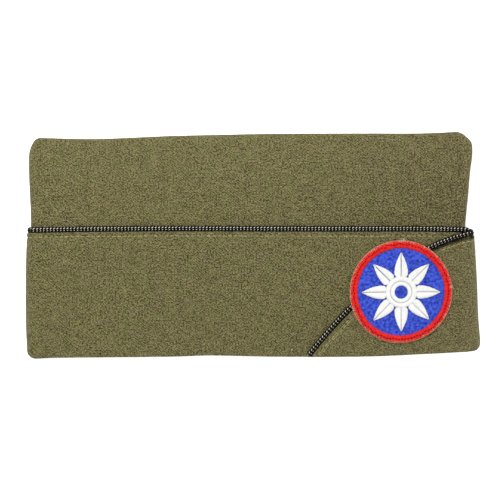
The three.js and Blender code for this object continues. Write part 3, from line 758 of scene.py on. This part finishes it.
def lap_line(away, start, end):
    x, rise = beside_lap(np.linspace(start, end, 300), away).T
    turn = turn_at(x, rise, CURTAIN_OUT + LAP_STEP / 2, 1.0)
    return cloth_line(turn, rise, CURTAIN_OUT - LAP_STITCH_DIP + lap_climb(turn))


stitches("curtain_stitching", [
    (right_line, RIGHT_ROW),
    (left_line, LEFT_ROW),
    (lap_line(STITCH_BELOW, 0.012, 1.0), LAP_ROW),
    (lap_line(STITCH_BELOW + SECOND_ROW_AWAY, 0.02, SECOND_ROW_END), SECOND_ROW),
], seed=11)

PALE_LINT = spun("pale_lint", paint(200, 192, 176), paint(240, 234, 220), 0.9)
lint_turn = turn_at(LINT_X, LINT_RISE, CURTAIN_OUT, 1.0)
lint, lint_up = cloth_line(
    np.linspace(lint_turn - LINT_SPAN, lint_turn + LINT_SPAN, 5),
    LINT_RISE + np.array([0.1, 0.0, 0.0, -0.1, -0.2]), CURTAIN_OUT + LINT_RADIUS)
points, faces = threads(lint[None], lint_up[None], LINT_RADIUS, LINT_RADIUS)
make_piece("curtain_lint", points, faces, [PALE_LINT], "wool_serge",
           tones=np.full(len(points), 0.8))


# Braid
#
# A round black cord with cream flecks, sewn into each curtain's edge. It is plaited of five cream
# strands that wind one way and five wider black ones that wind the other, one over and one under,
# round a black core, so that two rows of flecks show from above.
STRANDS = 5
FLECK_PITCH = 2.13
PLAIT_LAY = STRANDS * FLECK_PITCH
STRAND_HALF_THICK = 0.26
CREAM_HALF_WIDE = 0.35
BLACK_HALF_WIDE = 0.73
BLACK_PROUD = 0.24
CREAM_SUNK = 0.02
CREASE_SUNK = 0.4
CREASE_LEVELS = (0.6, 0.85)
DRAWN_IN = 1.0
DRAWN_LEVELS = (0.0, 0.9)
WEAVE_SWING = 0.22
PLAIT_CROWD = 0.17
PLAIT_ROLL = 0.524
PLAIT_STEP = 0.42
CORE_SHARE = 0.72
CORE_SIDES = 10
END_TAPER = 1.6
LEAST_TAPER = 0.12
RIGHT_LOWER_SUNK, LEFT_LOWER_SUNK = 0.14, 0.2
RIGHT_BRAID_UP, LEFT_BRAID_UP = 0.2, 0.3
TUCKED_DOWN = 0.7
BRAID_BLACK = spun("black_braid", paint(2, 2, 1), paint(30, 28, 20), 0.5, twist=0.25, gloss=0.02)
BRAID_CREAM = spun("cream_braid", paint(224, 220, 200), paint(284, 280, 264), 0.45, twist=0.25)


def plait(name, turn, rise, out, node, loose_end, lower_sunk, seed):
    random = np.random.default_rng(seed)
    line = cloth_line(turn, rise, out + BRAID_HEIGHT / 2)
    _, length = along_line(line, np.zeros(1))
    places = np.linspace(0, length, int(length / PLAIT_STEP))
    (middle, up), _ = along_line(line, places)
    along = unit(np.gradient(middle, axis=0))
    side = unit(np.cross(up, along))
    up = np.cross(along, side)
    level = np.abs(up[:, 2])
    middle = middle - up * (DRAWN_IN * (1 - ease_in(level, *DRAWN_LEVELS)))[:, None]
    taper = np.ones(len(places))
    for there, used in ((places, loose_end[0]), (length - places, loose_end[1])):
        if used:
            taper = taper * np.sqrt(np.clip(there / END_TAPER, LEAST_TAPER, 1))
    wave = 2 * np.pi * places / FLECK_PITCH
    cream_sunk = CREAM_SUNK + CREASE_SUNK * (1 - ease_in(level, *CREASE_LEVELS))

    def wound(way, strand, swing):
        """The path of one strand, and the way its flat side faces."""
        angle = way * (2 * np.pi * places / PLAIT_LAY) + 2 * np.pi * strand / STRANDS + PLAIT_ROLL
        angle = angle - PLAIT_CROWD * np.sin(2 * angle)
        across, high = np.sin(angle), np.cos(angle)
        lower = lower_sunk * (way > 0) * np.maximum(across, 0)
        reach = (swing - STRAND_HALF_THICK - lower) * taper
        place = (middle + side * (across * (BRAID_WIDTH / 2 + reach))[:, None]
                 + up * (high * (BRAID_HEIGHT / 2 + reach))[:, None])
        place = middle + (place - middle) * taper[:, None]
        facing = side * (across / BRAID_WIDTH)[:, None] + up * (high / BRAID_HEIGHT)[:, None]
        return place, unit(facing)

    parts, picks, tones = [], [], []
    for way, half_wide, sunk, pick in ((1, CREAM_HALF_WIDE, cream_sunk, 1),
                                       (-1, BLACK_HALF_WIDE, -BLACK_PROUD, 0)):
        swing = WEAVE_SWING * (way * np.cos(wave) - 1) - sunk
        strands = [wound(way, strand, swing) for strand in range(STRANDS)]
        paths, facing = (np.stack([made[k] for made in strands]) for k in (0, 1))
        points, faces = threads(paths, facing, half_wide * taper, STRAND_HALF_THICK * taper)
        parts.append((points, faces))
        picks += [pick] * len(faces)
        shades = random.uniform(0.25, 0.75, STRANDS)
        tones.append(np.repeat(shades, len(places) * THREAD_SIDES))
    core_wide, core_thick = (size / 2 * CORE_SHARE * taper for size in (BRAID_WIDTH, BRAID_HEIGHT))
    core = [values[None, ::2] for values in (middle, up, core_wide, core_thick)]
    points, faces = threads(*core, sides=CORE_SIDES)
    parts.append((points, faces))
    picks += [0] * len(faces)
    tones.append(np.full(len(points), 0.1))
    points, faces, start = [], [], 0
    for part_points, part_faces in parts:
        points.append(part_points)
        faces += [[start + i for i in face] for face in part_faces]
        start += len(part_points)
    make_piece(name, np.concatenate(points), faces, [BRAID_BLACK, BRAID_CREAM], "braid",
               replaces=[node], picks=picks, tones=np.concatenate(tones))


back_turn = 3 - seam_turn(CURTAIN_IN)
right_edge = np.concatenate([np.linspace(TUCK_TURN, 1, 60)[:-1], np.linspace(1, back_turn, 700)])
right_rise = CURTAIN_HEIGHT + RIGHT_BRAID_UP
right_rise = right_rise - TUCKED_DOWN * (1 - ease_in(right_edge, TUCK_TURN, 1.02))
plait("right_braid", right_edge, right_rise, CURTAIN_IN, "braid_right", (True, False),
      RIGHT_LOWER_SUNK, seed=21)


def left_edge():
    """The left braid's line: along the underside, round the front crease and down the lap."""
    middle_out = CURTAIN_IN + LAP_STEP + BRAID_HEIGHT / 2
    x, rise = lap_edge(np.linspace(1, 0, 500)).T
    lap_turn = turn_at(x, rise, middle_out, 1.0)
    tip = np.linspace(0, lap_turn[0], 30)[1:-1]
    under = np.concatenate([np.linspace(-back_turn, 0, 700), tip])
    turn = np.concatenate([under, lap_turn])
    high = np.concatenate([CURTAIN_HEIGHT * lap_dip(under), rise]) + LEFT_BRAID_UP
    return turn, high, CURTAIN_IN + lap_climb(turn)


plait("left_braid", *left_edge(), "braid_left", (False, True), LEFT_LOWER_SUNK, seed=22)


# Badge
#
# A round cloth badge sewn across the lap: a disc of blue felt, a rim overcast in red thread and a
# white rosette worked in satin stitch. It bridges the step from the right curtain over the braid
# and settles on the lap.
PATCH_FROM_FRONT = 49.6
PATCH_BELOW_BRAID = 39.8
PATCH_WIDTH = 63.5
PATCH_TALL = 64.9
BORDER_WIDTH = 4.4
BORDER_HEIGHT = 1.8
FIELD_THICKNESS = 0.8
MOTIF_THICKNESS = 0.6
PATCH_SETTLE = 17.0
FELT_UNDER_RIM = 0.6
FELT_TONE = 0.48
FIBRE_SIZE, FIBRE_TONE = 0.5, 1.9
LUMP_SIZE, LUMP_TONE = 1.6, 1.8
DISC_ROWS, DISC_SPOKES = 34, 180
PATCH_RADIUS = PATCH_WIDTH / 2
RIM_INSIDE = PATCH_RADIUS - BORDER_WIDTH
PATCH_X = HALF_LENGTH - PATCH_FROM_FRONT
PATCH_RISE = CURTAIN_HEIGHT - PATCH_BELOW_BRAID
TALL_SHARE = PATCH_TALL / PATCH_WIDTH


def under_patch(x, rise):
    away = lap_distance(x, rise)
    clear = BRAID_WIDTH / 2
    low = CURTAIN_OUT + PLY_GAP
    top = CURTAIN_IN + LAP_STEP + BRAID_HEIGHT + PLY_GAP
    right = top + (low - top) * ease_in(away, clear, clear + PATCH_SETTLE)
    lap = top + (low + LAP_STEP - top) * ease_in(-away, clear, clear + PATCH_SETTLE)
    return np.where(away > 0, right, lap)


def on_patch(radius, angle, above):
    """A place on the badge, by radius and angle from its middle and height above its back."""
    radius, angle, above = matched(radius, angle, above)
    x = PATCH_X + radius * np.cos(angle)
    rise = PATCH_RISE + radius * np.sin(angle) * TALL_SHARE
    out = under_patch(x, rise) + above
    return np.stack([x, rise - CROWN_HEIGHT / 2 + edge_wave(x, rise),
                     fold_height(rise) + CREASE_RADIUS + out + swell(x, rise)], -1)


def badge_line(radius, angle, above):
    """Places on the badge, with the way up from it at each."""
    places = on_patch(radius, angle, above)
    return places, on_patch(radius, angle, above + 0.5) - places


def felt():
    material, flow = new_material("blue_felt")
    where = flow.node("TexCoord", {}, {}, outlet=3)
    fibre = flow.noise(where, FIBRE_SIZE * MM, detail=4.0, roughness=0.75)
    lump = flow.noise(where, LUMP_SIZE * MM, detail=2.0)
    share = fibre * FIBRE_TONE + lump * LUMP_TONE + FELT_TONE
    colour = share.blend(paint(2, 18, 126), paint(92, 122, 274))
    surface(flow, colour, 0.95, fibre + lump, 0.25, Sheen_Weight=0.04, Sheen_Roughness=0.5,
            Specular_IOR_Level=0.06)
    return material


def disc(name, radius, low, high, material, edge=0.25, **facts):
    """A round of cloth with softened edges, from low to high above the badge's back."""
    level = np.sqrt(np.linspace(0.0004, 1, DISC_ROWS)) * (radius - edge)
    reach = np.concatenate([level, [radius, radius], level[::-1]])
    above = np.concatenate([np.full(DISC_ROWS, high), [high - edge, low + edge],
                            np.full(DISC_ROWS, low)])
    angle = np.linspace(0, 2 * np.pi, DISC_SPOKES, endpoint=False)
    rings = on_patch(reach[:, None], angle, above[:, None])
    number, following = numbered(rings)
    bands = np.stack([number[:-1], number[1:], following[1:], following[:-1]], -1).reshape(-1, 4)
    faces = bands.tolist() + [number[0].tolist(), number[-1, ::-1].tolist()]
    return make_piece(name, rings.reshape(-1, 3), faces, [material], "badge_cloth", **facts)


field = disc("badge_felt", RIM_INSIDE + FELT_UNDER_RIM, 0.0, FIELD_THICKNESS, felt(),
             replaces=["patch_field"])


# Badge rim
#
# Red thread overcast round the edge of the badge: each turn of thread comes up at the inner edge
# of the rim, goes over it and down round the outside. A row of darker red machine stitches down the
# middle of the rim holds the badge on the cap. A padding ring of the same red lies underneath.
RIM_THREADS = 470
RIM_THREAD_RADIUS = 0.25
FINE_SIDES = 5
RIM_LEAN = 0.018
RIM_DRAWN_IN = 0.15
RIM_RAGGED = 0.15
TACKS = 96
TACK_SHARE = 0.6
TACK_RADIUS = 0.34
TACK_STRAY = 0.3
TACK_DIVE = 0.5
TACK_RING = RIM_INSIDE + BORDER_WIDTH * 0.53
# across as a share of the rim's width from the inside, and above as a share of its height
RIM_SECTION = np.array([
    (0.00, 0.30), (0.05, 0.62), (0.20, 0.88), (0.45, 0.92),
    (0.72, 0.90), (0.92, 0.70), (1.00, 0.36), (0.97, 0.05),
])
RIM_RED = spun("rim_red_thread", paint(230, 28, 26), paint(292, 72, 66), 0.55, gloss=0.02)
TACK_RED = spun("tack_dark_red_thread", paint(140, 3, 6), paint(190, 10, 14), 0.6, gloss=0.02)


def badge_threads(name, paths, ups, radius, material, slot, seed, spread=(0.2, 0.8), **facts):
    random = np.random.default_rng(seed)
    points, faces = threads(paths, ups, radius, radius, sides=FINE_SIDES)
    tones = np.repeat(random.uniform(*spread, len(paths)), paths.shape[1] * FINE_SIDES)
    make_piece(name, points, faces, [material], slot, tones=tones, **facts)


def hoop(name, rings, material, slot, tone):
    """A ring with a closed section, from rows of points that each run round the badge."""
    points = rings.reshape(-1, 3)
    number, following = numbered(rings)
    after, over = np.roll(following, -1, axis=0), np.roll(number, -1, axis=0)
    faces = np.stack([number, following, after, over], -1)
    make_piece(name, points, facing_out(points, faces.reshape(-1, 4)), [material], slot,
               tones=np.full(len(points), tone))


def rim():
    random = np.random.default_rng(31)
    angle = np.arange(RIM_THREADS) / RIM_THREADS * 2 * np.pi
    angle = (angle + random.normal(0, 0.0012, RIM_THREADS))[:, None]
    across, above = RIM_SECTION.T
    reach = RIM_INSIDE + across * (BORDER_WIDTH - RIM_DRAWN_IN)
    reach = reach + random.normal(0, RIM_RAGGED, (RIM_THREADS, 1))
    high = above * BORDER_HEIGHT + random.normal(0, 0.035, (RIM_THREADS, 1))
    paths, ups = badge_line(reach, angle + RIM_LEAN * across, high)
    badge_threads("badge_rim_threads", paths, ups + 0.02, RIM_THREAD_RADIUS, RIM_RED,
                  "badge_border", 32, replaces=["patch_border"])


def rim_padding():
    angle = np.linspace(0, 2 * np.pi, 240, endpoint=False)
    across = np.array([0.06, 0.06, 0.22, 0.5, 0.75, 0.93, 0.93])
    above = np.array([0.0, 0.45, 0.74, 0.8, 0.76, 0.5, 0.0])
    reach, high = RIM_INSIDE + across * BORDER_WIDTH, above * BORDER_HEIGHT
    rings = on_patch(reach[:, None], angle, high[:, None])
    hoop("badge_rim_padding", rings, RIM_RED, "badge_border", 0.2)


def tacks():
    random = np.random.default_rng(33)
    share = np.linspace(0, 1, 6)
    angle = (np.arange(TACKS)[:, None] + TACK_SHARE * share) / TACKS * 2 * np.pi
    reach = TACK_RING + random.normal(0, TACK_STRAY, (TACKS, 1)) + 0.2 * np.sin(angle * 5)
    high = BORDER_HEIGHT * 0.92 + RIM_THREAD_RADIUS + 0.1 - TACK_DIVE * (2 * share - 1) ** 4
    badge_threads("badge_tack_stitches", *badge_line(reach, angle, high), TACK_RADIUS, TACK_RED,
                  "badge_border", 34)


rim()
rim_padding()
tacks()


# Badge backing
#
# Stiff cream muslin behind the felt, cut close to the rim. Its raw edge shows as a thin pale line,
# and some of its threads have come loose and stand out past the red.
MUSLIN_PROUD = 0.35
MUSLIN_LOW, MUSLIN_HIGH = -0.22, 0.1
LOOSE_THREADS = 330
LOOSE_RADIUS = 0.075
# where a tuft stands, in degrees round the badge, with its count of threads and their length
TUFTS = ((87, 9, 2.1), (6, 7, 1.7), (205, 4, 1.2), (318, 4, 1.1))
MUSLIN = spun("cream_muslin", paint(220, 164, 128), paint(262, 244, 212), 0.9)
backing_radius = PATCH_RADIUS + MUSLIN_PROUD
backing = disc("badge_backing", backing_radius, MUSLIN_LOW, MUSLIN_HIGH, MUSLIN, edge=0.1)


def fray():
    random = np.random.default_rng(41)
    angle = random.uniform(0, 2 * np.pi, LOOSE_THREADS)
    long = random.gamma(2.2, 0.15, LOOSE_THREADS)
    for middle, count, length in TUFTS:
        angle = np.concatenate([angle, np.radians(middle) + random.normal(0, 0.016, count)])
        long = np.concatenate([long, length * random.uniform(0.5, 1.0, count)])
    angle, long = angle[:, None], long[:, None]
    share = np.linspace(0, 1, 7)
    inside = random.uniform(0.1, 1.2, angle.shape)
    bend = random.normal(0, 0.5, angle.shape) * share**2 * long / PATCH_RADIUS
    lean = random.normal(0, 0.5, angle.shape) * share * long / PATCH_RADIUS
    reach = PATCH_RADIUS - inside + share * (long + inside)
    rim_top = np.interp((reach - RIM_INSIDE) / BORDER_WIDTH, *RIM_SECTION[:7].T) * BORDER_HEIGHT
    high = rim_top + 0.25 + random.uniform(0, 0.3, angle.shape) * share - 0.5 * share**2
    paths = on_patch(reach, angle + bend + lean, high)
    ups = np.broadcast_to([0.0, 0.0, 1.0], paths.shape)
    badge_threads("badge_loose_threads", paths, ups, LOOSE_RADIUS * (1 - 0.5 * share), MUSLIN,
                  "badge_cloth", 42, spread=(0.5, 1.0))


fray()


# Badge motif
#
# A plain rosette in white satin stitch over a felt pad: eight pointed petals round a ring. On each
# petal the stitches slant from a middle vein to both edges, and on the ring they run outward.
PETALS = 8
PETAL_TIP = 24.5
PETAL_HALF_WIDTH = 5.6
PETAL_WAIST = 0.45
HUB_RADIUS = 9.6
EYE_RADIUS = 4.2
SATIN_RADIUS = 0.2
SATIN_PITCH = 0.31
SATIN_SLANT = 2.6
SATIN_UNEVEN = 0.03
VEIN_HALF_ANGLE = 0.012
RING_SPLIT = 6.7
MOTIF_LOW = FIELD_THICKNESS - 0.1
MOTIF_WHITE = spun("motif_white_thread", paint(254, 254, 250), paint(290, 291, 290), 0.55)


def petal_edge(reach):
    """Half the width of a petal, as an angle, at distances from the rosette's middle."""
    waist = HUB_RADIUS + (PETAL_TIP - HUB_RADIUS) * PETAL_WAIST
    t = np.linspace(0, 1, 80)[:, None]
    far = np.array([[HUB_RADIUS], [waist], [PETAL_TIP]])
    angle = np.array([math.pi / PETALS, PETAL_HALF_WIDTH / waist, 0.0])
    hub, control, tip = far * np.stack([np.cos(angle), np.sin(angle)], -1)
    line = (1 - t) ** 2 * hub + 2 * t * (1 - t) * control + t**2 * tip
    far, angle = np.hypot(*line.T), np.arctan2(line[:, 1], line[:, 0])
    order = np.argsort(far)
    return np.interp(reach, far[order], angle[order])


def satin():
    random = np.random.default_rng(51)
    share = np.linspace(0, 1, 6)
    arch = MOTIF_THICKNESS * (0.55 + 0.75 * np.sin(np.pi * share) ** 0.7)
    made = []
    vein = np.arange(HUB_RADIUS - 1.6, PETAL_TIP - 0.35, SATIN_PITCH)[:, None]
    outer = np.minimum(vein + SATIN_SLANT * (PETAL_TIP - vein) / PETAL_TIP * 2, PETAL_TIP - 0.1)
    reach = vein + (outer - vein) * share
    edge = petal_edge(np.maximum(outer, HUB_RADIUS)) * outer / reach
    for petal in range(PETALS):
        for side in (-1, 1):
            across = side * (VEIN_HALF_ANGLE + share * (edge - VEIN_HALF_ANGLE))
            across = across + random.normal(0, 0.004, vein.shape) * share
            high = MOTIF_LOW + arch + random.normal(0, SATIN_UNEVEN, vein.shape)
            made.append(badge_line(reach, 2 * np.pi * petal / PETALS + across, high))
    for near, far in ((EYE_RADIUS, RING_SPLIT), (RING_SPLIT + 0.1, HUB_RADIUS + 0.2)):
        count = int(2 * np.pi * far / SATIN_PITCH)
        angle = np.arange(count)[:, None] / count * 2 * np.pi + 0.05 * share
        high = MOTIF_LOW + arch * 1.25 + 0.12 + random.normal(0, SATIN_UNEVEN, (count, 1))
        made.append(badge_line(near + (far - near) * share, angle, high))
    paths, ups = (np.concatenate([line[k] for line in made]) for k in (0, 1))
    badge_threads("badge_rosette_threads", paths, ups, SATIN_RADIUS, MOTIF_WHITE, "badge_motif", 52,
                  spread=(0.3, 0.9), replaces=["patch_motif"])


def rosette_pad():
    """The pad under the stitches: a star of petals joined to the hub, a little inside the edge."""
    reach = np.linspace(HUB_RADIUS, PETAL_TIP - 0.9, 22)
    half = np.maximum(petal_edge(reach) - 0.35 / reach, 0.004)
    middles = 2 * np.pi * np.arange(PETALS)[:, None] / PETALS
    angles = np.concatenate([middles - half, middles + half[::-1]], 1).ravel()
    places = np.tile([*reach, *reach[::-1]], PETALS)
    share, above = np.array([(0.06, 0.0), (0.06, 0.3), (0.97, 0.3), (1.0, 0.0)]).T[..., None]
    rings = on_patch(EYE_RADIUS + (places - EYE_RADIUS) * share, angles, MOTIF_LOW + above)
    hoop("badge_rosette_pad", rings, MOTIF_WHITE, "badge_motif", 0.35)


satin()
rosette_pad()


# Studio
#
# A plain white floor under soft light, with a lamp at the back toward the top ridge and a low one
# before the front crease, and a long lens straight above, framed as in the photograph.
VIEW_WIDTH = 314.5
VIEW_CENTRE = (-1.676, -3.044)
VIEW_PLANE = 8.0
LENS = 200.0
SENSOR = 36.0
FLOOR_SIZE = 6.0
FLOOR_WHITE = (0.9, 0.9, 0.9, 1.0)

floor_mesh = bpy.data.meshes.new("floor")
half = FLOOR_SIZE / 2
corners = [(-half, -half, 0), (half, -half, 0), (half, half, 0), (-half, half, 0)]
floor_mesh.from_pydata(corners, [], [(0, 1, 2, 3)])
floor = put("floor", floor_mesh)
floor_white, flow = new_material("floor_white")
grit = flow.noise(flow.node("TexCoord", {}, {}, outlet=3), 0.02)
surface(flow, FLOOR_WHITE, 0.9, grit, 0.02)
floor_mesh.materials.append(floor_white)

world = bpy.data.worlds.new("studio")
bpy.context.scene.world = world
world.use_nodes = True
background = world.node_tree.nodes["Background"].inputs
background["Color"].default_value = (1.0, 0.995, 0.985, 1.0)
background["Strength"].default_value = 2.0


def lamp(name, place, size, power):
    light = bpy.data.lights.new(name, "AREA")
    light.shape, light.size, light.energy = "DISK", size, power
    held = put(name, light)
    held.location = place
    held.rotation_mode = "QUATERNION"
    held.rotation_quaternion = (-held.location).to_track_quat("-Z", "Y")


lamp("key_lamp", (-0.28, 0.44, 0.56), 0.3, 7.5)
lamp("front_lamp", (0.85, -0.1, 0.12), 0.3, 5.0)

camera = put("camera", bpy.data.cameras.new("camera"))
camera.data.lens, camera.data.sensor_width = LENS, SENSOR
high = VIEW_WIDTH * LENS / SENSOR + VIEW_PLANE
camera.location = (VIEW_CENTRE[0] * MM, VIEW_CENTRE[1] * MM, high * MM)
camera.data.clip_start, camera.data.clip_end = 0.1, 10.0
bpy.context.scene.camera = camera
bpy.context.scene.view_settings.view_transform = "Standard"
